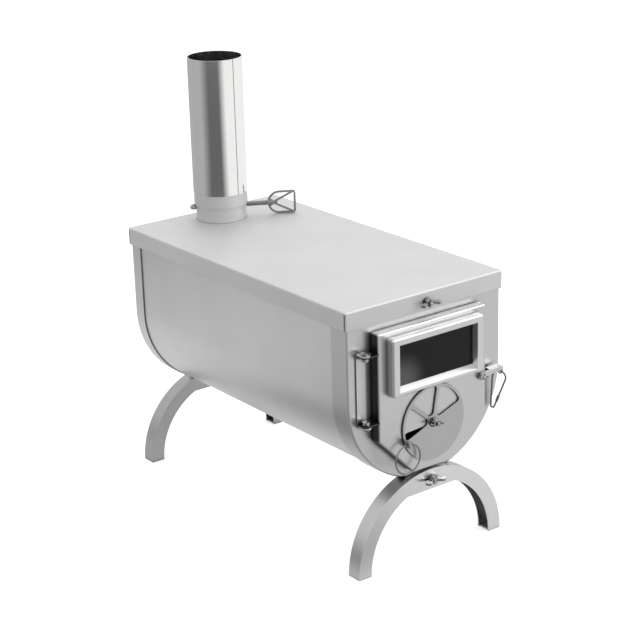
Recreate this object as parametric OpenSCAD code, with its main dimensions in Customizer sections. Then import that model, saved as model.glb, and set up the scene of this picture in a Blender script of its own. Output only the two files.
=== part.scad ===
// Tent wood stove: a U-shaped sheet-metal firebox on two arched legs, with a flat lid, a glazed
// door with a turning air wheel, and a flue with a damper.
// The origin is on the ground under the middle of the stove. The door faces -Y and +Z is up.

/* [Firebox] */
// Outer width over the end caps
body_w = 196; // [176:1:216]
// Outer length over the end caps
body_len = 382; // [345:1:430]
// Height from the round bottom to the rim under the lid
body_h = 193; // [188:1:215]
// Height of the round bottom above the ground
ground_gap = 86; // [84:0.5:90]
// Thickness of the body's sheet
sheet_t = 1.2; // [0.8:0.1:1.5]
// Width of the front cap's wrap-round band
front_band_w = 24; // [16:1:32]
// Width of the rear cap's wrap-round band
rear_band_w = 17; // [12:1:26]
// Outer radius of the folds at the caps, the lid and the door
fold_r = 2; // [1.8:0.1:3]

/* [Lid] */
// How far the skirt stands out from the body on every side
lid_proud = 2; // [1.9:0.1:4]
// Height of the skirt
lid_skirt_h = 19; // [17:0.5:23]

/* [Flue] */
// Outer diameter of the chimney pipe
pipe_d = 60; // [55:0.5:62]
// Length of chimney pipe above the sleeve's step
pipe_len = 150; // [110:5:400]
// Thickness of the pipe's wall
pipe_t = 0.6; // [0.4:0.1:0.8]
// Distance from the rear face to the flue's axis
flue_inset = 34.3; // [33.5:0.1:60]
// Height of the step that the chimney pipe stands on, above the lid
pipe_step_h = 31; // [27:0.5:45]
// Height of the damper's shaft above the lid
damper_h = 13.4; // [12:0.1:16]
// Turn of the damper's shaft from the stove's width, towards the front
damper_turn = -30; // [-60:1:0]

/* [Door] */
// Width of the door
door_w = 138.6; // [136:0.2:142]
// Height of the door's lower edge above the firebox's lowest point
door_rise = 12.7; // [9:0.1:18]
// Depth of the door's pan
door_depth = 11.2; // [10:0.1:12]
// Cut of the two lower corners, along each side
door_cut = 44; // [34:1:50]
// Distance from the lid's top to the door's top edge
door_drop = 26.5; // [25:0.5:30]
// Width of the door's face left on each side of the raised window frame
frame_side = 10.8; // [8.4:0.2:13.4]
// Height of the raised window frame
frame_h = 60; // [57:0.5:60]
// How far the frame stands out from the door
frame_proud = 9.5; // [8:0.1:10.5]
// Thickness of the glass
glass_t = 3.2; // [2.5:0.1:4]

/* [Air wheel] */
// Gap between the air wheel and the door's lower edge
wheel_foot_gap = 8.8; // [8:0.1:16]
// Gap between the air wheel and the window frame
wheel_head_gap = 1.7; // [1.2:0.1:6]
// Turn of the wheel from shut, as it stands
wheel_open = 17; // [10:1:24]
// Width of the wheel's spokes
spoke_w = 3; // [2.4:0.1:5]

/* [Legs] */
// How far the leg's crown rises above the firebox's lowest point
leg_rise = 8; // [6:0.5:11]
// Width of the leg's front plate
leg_rib_w = 15.5; // [13:0.5:17]
// Depth of the leg's channel
leg_depth = 17; // [14:0.5:20]
// How far the leg's front plate stands out from the end cap's face
leg_proud = 7.4; // [6:0.1:7.8]

/* [Fastenings] */
// Diameter of the lid and leg screws
screw_d = 5; // [4:0.1:5.2]
// Span of a wing nut
wing_span = 25; // [21:0.5:25]
// Diameter of the hinge and latch pivots
pivot_d = 4; // [3:0.1:4.4]

/* [Hidden] */
$fn = 64;

// Fits and clearances
slip_gap = 0.3;        // between pieces that move on each other without bearing
run_gap = 0.05;        // radial gap of a pin or shaft in its bore
seat_gap = 0.1;        // between curved sheets that lie in each other
cut_over = 1;          // how far a cutting shape passes the faces it cuts
corner_fn = 32;        // sides of the rounded corners of hulled shapes

// Firebox
half_w = body_w / 2;
face_y = body_len / 2;
arc_z = ground_gap + half_w;
rim_z = ground_gap + body_h;
shell_r = half_w - sheet_t - seat_gap;
rim_fold_w = 9;
lid_top = rim_z + sheet_t;
lid_half_w = half_w + lid_proud;
lid_half_len = face_y + lid_proud;
corner_slit = 0.9;

// Fire grate
grate_half_w = 52;
grate_t = 1.5;
grate_end_gap = 8;
grate_margin = 12;
grate_slot_w = 5;
grate_slot_len = 38;
grate_pitch = 13;
grate_rows = floor((2 * face_y - 2 * (grate_end_gap + sheet_t + grate_margin)) / grate_pitch);

// Flue, seen from the lid's top
flue_y = face_y - flue_inset;
pipe_r = pipe_d / 2;
sleeve_t = 1.4;
neck_gap = 0.1;
neck_r = pipe_r - pipe_t - neck_gap;
step_w = 0.3;
sleeve_r = neck_r + step_w;
sleeve_over_shaft = 3.6;
sleeve_low = damper_h + sleeve_over_shaft;
neck_h = 25;
spigot_gap = 0.3;
spigot_r = neck_r - sleeve_t - spigot_gap;
spigot_t = 0.8;
spigot_flange_w = 4;
spigot_over = 6;
spigot_h = pipe_step_h + spigot_over;
hole_gap = 0.3;
seam_w = 7;
seam_t = 0.5;
seam_turn = -77;
socket_h = 27;
socket_t = 0.35;
shaft_r = 2;
damper_gap = 1.2;
damper_r = spigot_r - spigot_t - damper_gap;
damper_t = 1;
damper_z = lid_top + damper_h;
spacer_r = 2.7;
spacer_len = 24;
handle_len = 31.5;
handle_gap = 0.5;
handle_h = 2 * (damper_h - handle_gap);
handle_t = 2;
handle_rim = 2.2;
handle_rib = 2;
handle_hub_share = 0.42;
handle_corner_r = 3;
handle_sock_r = 3.2;
handle_sock_len = 6;
damper_nut_r = 3.2;
damper_nut_len = 4;
nut_dome_t = 1;
handle_start = spigot_r + slip_gap + spacer_len;

// Door. Its back lies just off the cap's face.
door_back = -face_y - slip_gap;
door_front = door_back - door_depth;
door_top = lid_top - door_drop;
door_low = ground_gap + door_rise;
door_t = 1.2;
mouth_inset = 11;
frame_drop = 5.5;
frame_t = 1.4;
frame_w = door_w - 2 * frame_side;
frame_top = door_top - frame_drop;
frame_low = frame_top - frame_h;
frame_front = door_front - frame_proud;
frame_r = 2.5;
rail_w = 8.5;
rail_top = 7.3;
rail_low = 4;
sill_drop = 5;
brow_drop = 4;
cheek_in = 2;
glass_set = 6;
glass_lap = 3;
window_screw_r = 1.5;
window_screw_len = 4.5;
window_screw_head_r = 2.8;
window_screw_head_h = 1.4;

// Air wheel
wheel_x = -1.5;
wheel_r = (frame_low - door_low - wheel_foot_gap - wheel_head_gap) / 2;
wheel_z = door_low + wheel_foot_gap + wheel_r;
wheel_t = 1.2;
wheel_lift = 0.8;
wheel_rim_w = 2.2;
wheel_hub_r = 8;
hole_hub_r = 9;
hole_lap = 1;
wheel_edge = 20;
stud_r = 2;
stud_foot_share = 2.2;
stud_head_share = 2;
sector_corner_r = 3;
washer_t = 0.8;
tab_turn = 199;
tab_w = 9;
tab_len = 7.5;
ring_r = 15.5;
ring_wire_r = 0.8;
ring_eye_r = 1.7;
ring_eye_inset = 3.6;
wheel_back = door_front - wheel_lift;
wheel_front = wheel_back - wheel_t;
ring_y = wheel_front - tab_len + ring_eye_inset;

// Legs
leg_r = ground_gap + leg_rise;
leg_front = -face_y - leg_proud;
leg_t = 1.4;
leg_in_r = leg_r - leg_rib_w;
saddle_drop = 14;
saddle_low = ground_gap - saddle_drop;
saddle_half_w = sqrt(leg_in_r * leg_in_r - saddle_low * saddle_low);
screw_r = screw_d / 2;
leg_screw_z = (leg_r + saddle_low) / 2;
lug_w = 26;
lug_t = 2;
lug_foot = 5;
lug_y = -face_y;
foot_tab_t = 1.4;
leg_spacer_share = 1.8;

// Wing nuts and screws
nut_h = 5.8;
nut_hub_r = 4.2;
nut_foot_w = 1;
wing_r = 3.6;
wing_t = 2.4;
wing_lift = 3.2;
small_wing_share = 0.66;
wing_root_share = 0.55;
wing_belly_share = 0.85;
wing_back_share = 0.3;
wing_top_share = 0.9;
head_h = 2.2;
screw_tip = 1.6;
stud_reach = wheel_lift + wheel_t + slip_gap + nut_h + screw_tip;
leg_screw_reach = 6.9;
screw_head_share = 1.9;
lid_screw_drop = 11.4;
lid_screw_z = lid_top - lid_screw_drop;

// Hinge
pivot_r = pivot_d / 2;
hinge_out = 13.2;
hinge_fwd = 8;
hinge_x = -door_w / 2 - hinge_out;
hinge_y = -face_y - hinge_fwd;
hinge_drop = 44;
door_side_low = door_low + door_cut + fold_r * (sqrt(2) - 1);
hinge_share = 0.6853;
hinge_len = hinge_share * (door_top - door_side_low);
hinge_top = lid_top - hinge_drop;
hinge_low = hinge_top - hinge_len;
hinge_t = 1.5;
ear_w = 11;
ear_round = ear_w / 2;
tab_half_w = 4.5;
pin_head_r = 3.8;
pin_head_h = 1.8;
pin_nut_h = 3;

// Latch
latch_inset = 7.3;
latch_drop = 101;
latch_x = door_w / 2 - latch_inset;
latch_z = lid_top - latch_drop;
latch_len = 29.5;
latch_end = latch_x + latch_len;
latch_t = 1.5;
latch_blade_h = 3;
latch_top = 3.2;
latch_eye_r = 1.9;
latch_eye_drop = 4.6;
latch_shelf_gap = 5.7;
latch_shelf_start = door_w / 2 + latch_shelf_gap;
latch_head_share = 1.6;
catch_start = latch_shelf_start - slip_gap;
catch_w = 8;
catch_h = 11;
loop_half_w = 5.5;
loop_len = 40;
loop_turn = 28;
loop_lean = 12;
loop_wire_r = 0.7;
crimp_r = 1.7;
crimp_len = 8;

// Half-disc below the arc's centre and straight sides up to the rim, in the x-z plane
module u_outline(r, top) {
    translate([0, arc_z]) circle(r, $fn = 128);
    translate([-r, arc_z]) square([2 * r, top - arc_z]);
}

// Extrudes an outline of the x-z plane towards the front, starting at y
module to_front(y, depth) {
    translate([0, y, 0]) rotate([90, 0, 0]) linear_extrude(depth) children();
}

// One quarter of a pan's section: a face along x, a rounded fold and a wall along y
module pan_section(r, depth, t) {
    difference() {
        pan_block(r, depth, fold_r);
        translate([-cut_over, t]) pan_block(r - t + cut_over, depth, fold_r - t);
    }
}

module pan_block(r, depth, round_r) {
    square([r - round_r, depth]);
    translate([0, round_r]) square([r, depth - round_r]);
    translate([r - round_r, round_r]) circle(round_r);
}

// A pan with a U-shaped outline: its section is turned about the arc's centre and drawn up the sides
module u_pan(depth) {
    translate([0, 0, arc_z]) rotate([90, 0, 0]) rotate([0, 0, 180]) mirror([0, 0, 1])
        rotate_extrude(angle = 180, $fn = 128) intersection() {
            pan_section(half_w, depth, sheet_t);
            square([half_w, depth]);
        }
    translate([0, 0, arc_z]) linear_extrude(rim_z - arc_z)
        for (side = [0, 1]) mirror([side, 0, 0]) intersection() {
            pan_section(half_w, depth, sheet_t);
            square([half_w, depth]);
        }
}

// Outline of the door and of what follows it, drawn in by an inset
module door_outline(inset) {
    w = door_w / 2 - inset;
    top = door_top - inset;
    low = door_low + inset;
    corner = door_cut - inset * (2 - sqrt(2));
    polygon([[-w, top], [w, top], [w, low + corner], [w - corner, low],
        [-w + corner, low], [-w, low + corner]]);
}

module firebox_shell() color("silver") {
    cap_edge = face_y - sheet_t - slip_gap;
    difference() {
        to_front(cap_edge, 2 * cap_edge) intersection() {
            u_outline(shell_r, rim_z);
            translate([-half_w, 0]) square([body_w, rim_z]);
        }
        to_front(cap_edge + cut_over, 2 * (cap_edge + cut_over))
            u_outline(shell_r - sheet_t, rim_z + cut_over);
    }
    for (side = [-1, 1])
        translate([side * (shell_r - rim_fold_w / 2 - sheet_t / 2), 0, rim_z - sheet_t / 2])
            cube([rim_fold_w, 2 * cap_edge, sheet_t], center = true);
}

module front_end_cap() color("silver") difference() {
    translate([0, -face_y, 0]) u_pan(front_band_w);
    to_front(-face_y + front_band_w, front_band_w + cut_over) door_outline(mouth_inset);
    screw_hole(0, -face_y, lid_screw_z);
}

module rear_end_cap() color("silver") difference() {
    translate([0, face_y, 0]) mirror([0, 1, 0]) u_pan(rear_band_w);
    screw_hole(0, face_y, lid_screw_z);
}

// A screw's clearance hole through a sheet near y
module screw_hole(x, y, z) {
    translate([x, y, z]) rotate([90, 0, 0])
        cylinder(r = screw_r + run_gap, h = 2 * fold_r + 2 * lid_proud, center = true);
}

module lid() color("gainsboro") difference() {
    hull() for (sx = [-1, 1], sy = [-1, 1])
        translate([sx * (lid_half_w - fold_r), sy * (lid_half_len - fold_r), lid_top - fold_r]) {
            sphere(fold_r, $fn = corner_fn);
            translate([0, 0, fold_r - lid_skirt_h])
                cylinder(r = fold_r, h = sheet_t, $fn = corner_fn);
        }
    translate([-lid_half_w + sheet_t, -lid_half_len + sheet_t, lid_top - lid_skirt_h - cut_over])
        cube([2 * (lid_half_w - sheet_t), 2 * (lid_half_len - sheet_t),
            lid_skirt_h - sheet_t + cut_over]);
    for (sx = [-1, 1], sy = [-1, 1])
        translate([sx * lid_half_w, sy * (lid_half_len - fold_r - corner_slit / 2),
            lid_top - fold_r - lid_skirt_h / 2])
            cube([2 * fold_r, corner_slit, lid_skirt_h], center = true);
    translate([0, flue_y, rim_z - cut_over])
        cylinder(r = spigot_r + hole_gap, h = sheet_t + 2 * cut_over);
    for (side = [-1, 1]) screw_hole(0, side * lid_half_len, lid_screw_z);
}

// A slotted plate whose two folded feet stand on the shell's round bottom
module fire_grate() color("dimgray") {
    half_len = face_y - sheet_t - grate_end_gap;
    inner_r = shell_r - sheet_t - slip_gap;
    grate_z = arc_z - sqrt(inner_r * inner_r - grate_half_w * grate_half_w) + grate_t + slip_gap;
    difference() {
        translate([-grate_half_w, -half_len, grate_z]) cube([2 * grate_half_w, 2 * half_len, grate_t]);
        for (row = [0 : grate_rows - 1], side = [-1, 1])
            translate([side * grate_half_w / 2, (row - (grate_rows - 1) / 2) * grate_pitch, grate_z])
                cube([grate_slot_len, grate_slot_w, 3 * grate_t], center = true);
    }
    foot_x = grate_half_w / 2 - grate_slot_len / 2 - grate_t;
    intersection() {
        for (side = [-1, 1])
            translate([side * foot_x - grate_t / 2, -half_len, ground_gap])
                cube([grate_t, 2 * half_len, grate_z - ground_gap]);
        translate([0, 0, arc_z]) rotate([90, 0, 0])
            cylinder(r = inner_r, h = 2 * half_len, center = true, $fn = 128);
    }
}

module tube(r, t, h) {
    difference() {
        cylinder(r = r, h = h);
        translate([0, 0, -cut_over]) cylinder(r = r - t, h = h + 2 * cut_over);
    }
}

// Places a piece on the flue's axis, at a height above the lid's top
module on_flue(h) {
    translate([0, flue_y, lid_top + h]) children();
}

// Places a piece on the damper's shaft: +X runs along the shaft towards the handle
module on_damper() {
    translate([0, flue_y, damper_z]) rotate([0, 0, damper_turn]) children();
}

module flue_spigot() color("silver") difference() {
    union() {
        on_flue(-sheet_t) tube(spigot_r, spigot_t, sheet_t + spigot_h);
        on_flue(-2 * sheet_t) tube(spigot_r + spigot_flange_w, spigot_t + spigot_flange_w, sheet_t);
    }
    on_damper() rotate([0, 90, 0])
        cylinder(r = shaft_r + run_gap, h = 2 * spigot_r + 2 * cut_over, center = true);
}

module flue_sleeve() color("silver") on_flue(0) {
    inner = spigot_r + seat_gap;
    translate([0, 0, sleeve_low]) tube(sleeve_r, sleeve_r - inner, pipe_step_h - sleeve_low);
    translate([0, 0, pipe_step_h]) tube(neck_r, neck_r - inner, neck_h);
}

// A rolled pipe, closed by a lap seam that runs up its front. Its lower end is a wider socket,
// which slips over the sleeve's neck
module chimney_pipe() color("silver") on_flue(pipe_step_h) {
    tube(pipe_r, pipe_t, pipe_len);
    translate([0, 0, socket_h]) tube(pipe_r - pipe_t / 2, socket_t + pipe_t / 2, pipe_len - socket_h);
    intersection() {
        tube(pipe_r + seam_t, seam_t + pipe_t / 2, pipe_len);
        rotate([0, 0, seam_turn]) translate([0, -seam_w / 2, 0])
            cube([2 * pipe_r, seam_w, pipe_len]);
    }
}

module damper_plate() color("dimgray") on_damper() rotate([90, 0, 0])
    cylinder(r = damper_r, h = damper_t, center = true);

// The shaft is slotted along its middle for the plate
module damper_shaft() color("gray") on_damper() {
    start = -spigot_r - slip_gap - damper_nut_len;
    difference() {
        translate([start, 0, 0]) rotate([0, 90, 0])
            cylinder(r = shaft_r, h = handle_start + handle_sock_len - start);
        cube([2 * damper_r + 2 * run_gap, damper_t + 2 * run_gap, 2 * shaft_r + cut_over],
            center = true);
    }
}

module damper_spacer() color("gray") on_damper() translate([spigot_r + slip_gap, 0, 0])
    rotate([0, 90, 0]) difference() {
        cylinder(r = spacer_r, h = spacer_len - slip_gap);
        translate([0, 0, -cut_over]) cylinder(r = shaft_r + run_gap, h = spacer_len + 2 * cut_over);
    }

module damper_nut() color("dimgray") on_damper()
    translate([-spigot_r - slip_gap, 0, 0]) rotate([0, -90, 0]) difference() {
        union() {
            cylinder(r = damper_nut_r, h = damper_nut_len, $fn = 6);
            translate([0, 0, damper_nut_len]) difference() {
                sphere(shaft_r + nut_dome_t);
                translate([0, 0, -damper_nut_r]) cube(2 * damper_nut_r, center = true);
            }
        }
        translate([0, 0, -cut_over]) cylinder(r = shaft_r + run_gap, h = damper_nut_len + cut_over);
    }

// Outline of the handle, with x along the shaft: a half disc that runs on into a square end
module handle_outline(inset) {
    h = handle_h / 2;
    translate([h, 0]) circle(h - inset);
    translate([h, inset - h]) square([handle_len - h - handle_corner_r, 2 * (h - inset)]);
    translate([h, handle_corner_r - h])
        square([handle_len - h - inset, 2 * (h - handle_corner_r)]);
    for (side = [-1, 1])
        translate([handle_len - handle_corner_r, side * (h - handle_corner_r)])
            circle(handle_corner_r - inset);
}

// A flat plate pierced by three windows, which leave a hub and two ribs to the far corners
module damper_handle() color("dimgray") on_damper() translate([handle_start, 0, 0]) {
    hub_x = handle_hub_share * handle_h / 2;
    difference() {
        rotate([90, 0, 0]) translate([0, 0, -handle_t / 2]) linear_extrude(handle_t) {
            difference() {
                handle_outline(0);
                handle_outline(handle_rim);
            }
            intersection() {
                handle_outline(0);
                union() {
                    circle(hub_x);
                    translate([0, -handle_rib / 2]) square([2 * hub_x, handle_rib]);
                    for (side = [-1, 1]) translate([hub_x, 0])
                        rotate([0, 0, side * atan2(handle_h / 2, handle_len - hub_x)])
                        translate([0, -handle_rib / 2]) square([2 * handle_len, handle_rib]);
                }
            }
        }
        translate([-cut_over, 0, 0]) rotate([0, 90, 0])
            cylinder(r = shaft_r + run_gap, h = handle_sock_len + cut_over);
    }
    rotate([0, 90, 0]) tube(handle_sock_r, handle_sock_r - shaft_r - run_gap, handle_sock_len);
}

// Three sectors of sixty degrees less the spokes, from a start angle, between two radii
module air_sectors(start, r_in, r_out) {
    for (k = [0 : 2]) offset(sector_corner_r, $fn = corner_fn) offset(-sector_corner_r) difference() {
        circle(r_out, $fn = 96);
        circle(r_in);
        rotate([0, 0, start + 60 * k]) translate([-2 * r_out, spoke_w / 2 - 4 * r_out])
            square([4 * r_out, 4 * r_out]);
        rotate([0, 0, start + 60 * (k + 1)]) translate([-2 * r_out, -spoke_w / 2])
            square([4 * r_out, 4 * r_out]);
    }
}

// Places a piece on the air wheel's axis with its own z towards the front, starting at y
module on_wheel(y) {
    translate([wheel_x, y, wheel_z]) rotate([90, 0, 0]) children();
}

// A button of the door's rounded front corner, reaching back to the pan's edge
module door_corner(x, z, depth, r) {
    translate([x, door_front + r, z]) {
        sphere(r, $fn = corner_fn);
        rotate([-90, 0, 0]) cylinder(r = r, h = depth - r, $fn = corner_fn);
    }
}

module door_panel() color("silver") {
    w = door_w / 2 - fold_r;
    low_w = door_w / 2 - door_cut - fold_r * (sqrt(2) - 1);
    difference() {
        hull() for (sx = [-1, 1]) {
            door_corner(sx * w, door_top - fold_r, door_depth, fold_r);
            door_corner(sx * w, door_side_low, door_depth, fold_r);
            door_corner(sx * low_w, door_low + fold_r, door_depth, fold_r);
        }
        to_front(door_back + cut_over, door_depth - door_t + cut_over) door_outline(door_t);
        window_opening(door_front + door_t + cut_over, door_t + 2 * cut_over);
        on_wheel(door_front + door_t + cut_over) {
            linear_extrude(door_t + 2 * cut_over)
                air_sectors(wheel_edge + 180 - wheel_open, hole_hub_r, wheel_r - wheel_rim_w - hole_lap);
            cylinder(r = stud_r + run_gap, h = door_t + 2 * cut_over);
        }
        for (sx = [-1, 1], sz = [0, 1]) window_screw_at(sx, sz) translate([0, 0, -door_t - cut_over])
            cylinder(r = window_screw_r + run_gap, h = door_t + 2 * cut_over);
        translate([latch_x, door_front - cut_over, latch_z]) rotate([-90, 0, 0])
            cylinder(r = pivot_r + run_gap, h = door_t + 2 * cut_over);
    }
    for (z = [hinge_top - hinge_t - slip_gap, hinge_low + 2 * hinge_t + slip_gap])
        door_tab(z);
}

// A hinge tab: it runs from the door's side wall to round the pivot, and its top lies at z
module door_tab(z) {
    translate([0, 0, z - hinge_t]) difference() {
        union() {
            translate([hinge_x, hinge_y, 0]) cylinder(r = tab_half_w, h = hinge_t);
            translate([hinge_x, hinge_y - tab_half_w, 0])
                cube([hinge_out + door_t / 2, 2 * tab_half_w, hinge_t]);
        }
        translate([hinge_x, hinge_y, -cut_over])
            cylinder(r = pivot_r + run_gap, h = hinge_t + 2 * cut_over);
    }
}

// The clear opening behind the glass, through the door's plate
module window_opening(y, depth) {
    to_front(y, depth) glass_outline(-glass_lap);
}

// Outline of the frame's inner opening at the glass, grown by a margin
module glass_outline(grow) {
    half = frame_w / 2 - rail_w - cheek_in;
    top = frame_top - rail_top - brow_drop;
    low = frame_low + rail_low + sill_drop;
    translate([-half - grow, low - grow]) square([2 * (half + grow), top - low + 2 * grow]);
}

// A block from its front face backwards, with its front edges and its long corners rounded
module soft_block(half, low, top, front, depth, r) {
    translate([-half + r, front, low + r]) cube([2 * (half - r), depth, top - low - 2 * r]);
    translate([-half, front + r, low + r]) cube([2 * half, depth - r, top - low - 2 * r]);
    translate([-half + r, front + r, low]) cube([2 * (half - r), depth - r, top - low]);
    for (z = [low + r, top - r]) {
        translate([-half + r, front + r, z]) rotate([0, 90, 0]) cylinder(r = r, h = 2 * (half - r));
        for (sx = [-1, 1]) translate([sx * (half - r), front + r, z]) {
            sphere(r);
            rotate([-90, 0, 0]) cylinder(r = r, h = depth - r);
        }
    }
    for (sx = [-1, 1]) translate([sx * (half - r), front + r, low + r])
        cylinder(r = r, h = top - low - 2 * r);
}

// A raised frame with a rounded front edge, whose brow, cheeks and sill slope in to the glass
module window_frame() color("silver") {
    half = frame_w / 2;
    difference() {
        soft_block(half, frame_low, frame_top, frame_front, frame_proud, frame_r);
        hull() {
            to_front(frame_front + glass_set + cut_over, cut_over) glass_outline(0);
            to_front(frame_front, cut_over) translate([-half + rail_w, frame_low + rail_low])
                square([frame_w - 2 * rail_w, frame_h - rail_low - rail_top]);
        }
        to_front(door_front + cut_over, frame_proud - glass_set + cut_over)
            glass_outline(glass_lap);
        for (sx = [-1, 1], sz = [0, 1]) window_screw_at(sx, sz)
            cylinder(r = window_screw_r + run_gap, h = window_screw_len - door_t + run_gap);
    }
}

module window_glass() color([0.1, 0.1, 0.11]) {
    glass_front = frame_front + glass_set;
    to_front(glass_front + glass_t, glass_t) glass_outline(glass_lap - slip_gap);
}

// Places a screw of the frame: its own z points to the front from the door's front face
module window_screw_at(sx, sz) {
    x = frame_w / 2 - rail_w / 2;
    z = sz == 0 ? frame_low + rail_w : frame_top - rail_w;
    translate([sx * x, door_front, z]) rotate([90, 0, 0]) children();
}

module window_screws() color("gray") for (sx = [-1, 1], sz = [0, 1]) window_screw_at(sx, sz) {
    translate([0, 0, -door_t]) cylinder(r = window_screw_r, h = window_screw_len);
    translate([0, 0, -door_t - window_screw_head_h])
        cylinder(r = window_screw_head_r, h = window_screw_head_h);
}

// A disc with three open sectors and a closed half; an ear on its rim is folded forwards
module air_wheel() color("darkgray") {
    on_wheel(wheel_back) difference() {
        cylinder(r = wheel_r, h = wheel_t, $fn = 128);
        translate([0, 0, -cut_over]) linear_extrude(wheel_t + 2 * cut_over)
            air_sectors(wheel_edge, wheel_hub_r, wheel_r - wheel_rim_w);
        translate([0, 0, -cut_over]) cylinder(r = stud_r + run_gap, h = wheel_t + 2 * cut_over);
    }
    on_wheel(wheel_front) rotate([0, 0, tab_turn]) difference() {
        translate([wheel_r - wheel_t, -tab_w / 2, 0]) cube([wheel_t, tab_w, tab_len]);
        translate([wheel_r - wheel_t / 2, 0, wheel_front - ring_y]) rotate([0, 90, 0])
            cylinder(r = ring_eye_r, h = 4 * wheel_t, center = true);
    }
}

module air_wheel_stud() color("dimgray") {
    on_wheel(door_front) {
        translate([0, 0, -door_t]) cylinder(r = stud_r, h = stud_reach + door_t);
        translate([0, 0, -door_t - head_h]) cylinder(r = stud_head_share * stud_r, h = head_h);
        cylinder(r = stud_foot_share * stud_r, h = wheel_lift - run_gap);
    }
}

// A wing nut with its own z along the screw: a hub, a washer foot and two lifted wings
module wing_nut(bore_r, span, tip_r) {
    difference() {
        union() {
            cylinder(r = nut_hub_r, h = nut_h);
            cylinder(r = nut_hub_r + nut_foot_w, h = washer_t);
            for (side = [0, 1]) mirror([side, 0, 0]) rotate([90, 0, 0])
                translate([0, 0, -wing_t / 2]) linear_extrude(wing_t) wing_outline(span, tip_r);
        }
        translate([0, 0, -cut_over]) cylinder(r = bore_r + run_gap, h = nut_h + 2 * tip_r + cut_over);
    }
}

// Outline of one wing: a round tip joined to the hub by straight edges
module wing_outline(span, tip_r) {
    tip_x = span / 2 - tip_r;
    tip_z = wing_lift + tip_r;
    translate([tip_x, tip_z]) circle(tip_r);
    polygon([[0, washer_t], [tip_x * wing_root_share, washer_t],
        [tip_x + tip_r * wing_belly_share, tip_z - tip_r / 2], [tip_x, tip_z],
        [tip_x - tip_r * wing_back_share, tip_z + tip_r * wing_top_share],
        [nut_hub_r / 2, nut_h], [0, nut_h]]);
}

module air_wheel_nut() color("dimgray") on_wheel(wheel_front - slip_gap)
    wing_nut(stud_r, small_wing_share * wing_span, small_wing_share * wing_r);

// A closed wire ring that hangs parallel to the door from an eye on the wheel
module air_wheel_ring() color("dimgray") {
    eye_r = wheel_r - wheel_t / 2;
    translate([wheel_x + eye_r * cos(tab_turn), ring_y, wheel_z + eye_r * sin(tab_turn) - ring_r])
        rotate([90, 0, 0]) rotate_extrude() translate([ring_r, 0]) circle(ring_wire_r, $fn = 24);
}

// Arched channel with its front plate at y = 0 and its back plate behind it
module leg() {
    difference() {
        to_front(leg_t, leg_t) leg_plate();
        screw_hole(0, 0, leg_screw_z);
    }
    difference() {
        to_front(leg_depth, leg_t) leg_plate();
        translate([0, leg_depth, arc_z]) rotate([90, 0, 0])
            cylinder(r = half_w + slip_gap, h = leg_depth, center = true, $fn = 128);
    }
    leg_web();
    for (side = [-1, 1])
        translate([side * (leg_r - leg_rib_w / 2) - (leg_rib_w - leg_t) / 2, leg_t / 2, 0])
            cube([leg_rib_w - leg_t, leg_depth - leg_t, foot_tab_t]);
}

// Half ring standing on the ground, filled in under the saddle
module leg_plate() {
    difference() {
        circle(leg_r, $fn = 128);
        difference() {
            circle(leg_in_r, $fn = 128);
            translate([-saddle_half_w, saddle_low]) square([2 * saddle_half_w, leg_rib_w]);
        }
        translate([-2 * leg_r, -2 * leg_r]) square([4 * leg_r, 2 * leg_r]);
    }
}

// The channel's outer web, cut away where the firebox lies in it
module leg_web() {
    difference() {
        to_front(leg_depth, leg_depth) difference() {
            circle(leg_r, $fn = 128);
            circle(leg_r - leg_t, $fn = 128);
            translate([-2 * leg_r, -2 * leg_r]) square([4 * leg_r, 2 * leg_r]);
        }
        translate([0, leg_proud + leg_depth / 2, arc_z]) rotate([90, 0, 0])
            cylinder(r = half_w + slip_gap, h = leg_depth, center = true, $fn = 128);
        translate([-lug_w / 2 - slip_gap, leg_proud - slip_gap, 0])
            cube([lug_w + 2 * slip_gap, leg_depth - leg_proud - leg_t, 2 * leg_r]);
    }
}

// Puts a piece made for the front end there, or mirrored at the rear end
module at_end(rear) {
    mirror([0, rear ? 1 : 0, 0]) children();
}

module front_leg() color("silver") translate([0, leg_front, 0]) leg();

module rear_leg() color("silver") at_end(true) translate([0, leg_front, 0]) leg();

// A tab under each end of the firebox, bent from a foot that follows the round bottom
module leg_lugs() color("silver") for (rear = [false, true]) at_end(rear) {
    difference() {
        translate([-lug_w / 2, lug_y, leg_screw_z - screw_d])
            cube([lug_w, lug_t, arc_z - leg_screw_z]);
        firebox_round(lug_y - cut_over, lug_t + 2 * cut_over, 0);
        screw_hole(0, lug_y + lug_t / 2, leg_screw_z);
    }
    intersection() {
        difference() {
            firebox_round(lug_y + lug_t, lug_foot, lug_t);
            firebox_round(lug_y + lug_t - cut_over, lug_foot + 2 * cut_over, 0);
        }
        translate([-lug_w / 2, lug_y, leg_screw_z - screw_d]) cube([lug_w, leg_depth, half_w]);
    }
}

// A cylinder about the arc's axis, grown from the firebox's radius, from y backwards
module firebox_round(y, depth, grow) {
    translate([0, y + depth, arc_z]) rotate([90, 0, 0])
        cylinder(r = half_w + grow, h = depth, $fn = 128);
}

// A screw along -Y with its head at the back: thread start y, reach and radius
module front_screw(x, y, z, reach, r) {
    translate([x, y, z]) rotate([90, 0, 0]) {
        cylinder(r = r, h = reach);
        translate([0, 0, -head_h]) cylinder(r = screw_head_share * r, h = head_h);
    }
}

// Studs welded into the lugs
module leg_bolts() color("gray") for (rear = [false, true]) at_end(rear)
    translate([0, lug_y + lug_t, leg_screw_z]) rotate([90, 0, 0])
        cylinder(r = screw_r, h = lug_t + leg_proud + leg_screw_reach);

module leg_spacers() color("gray") for (rear = [false, true]) at_end(rear)
    translate([0, lug_y, leg_screw_z]) rotate([90, 0, 0]) difference() {
        cylinder(r = leg_spacer_share * screw_r, h = leg_proud - leg_t);
        translate([0, 0, -cut_over]) cylinder(r = screw_r + run_gap, h = leg_depth);
    }

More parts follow.
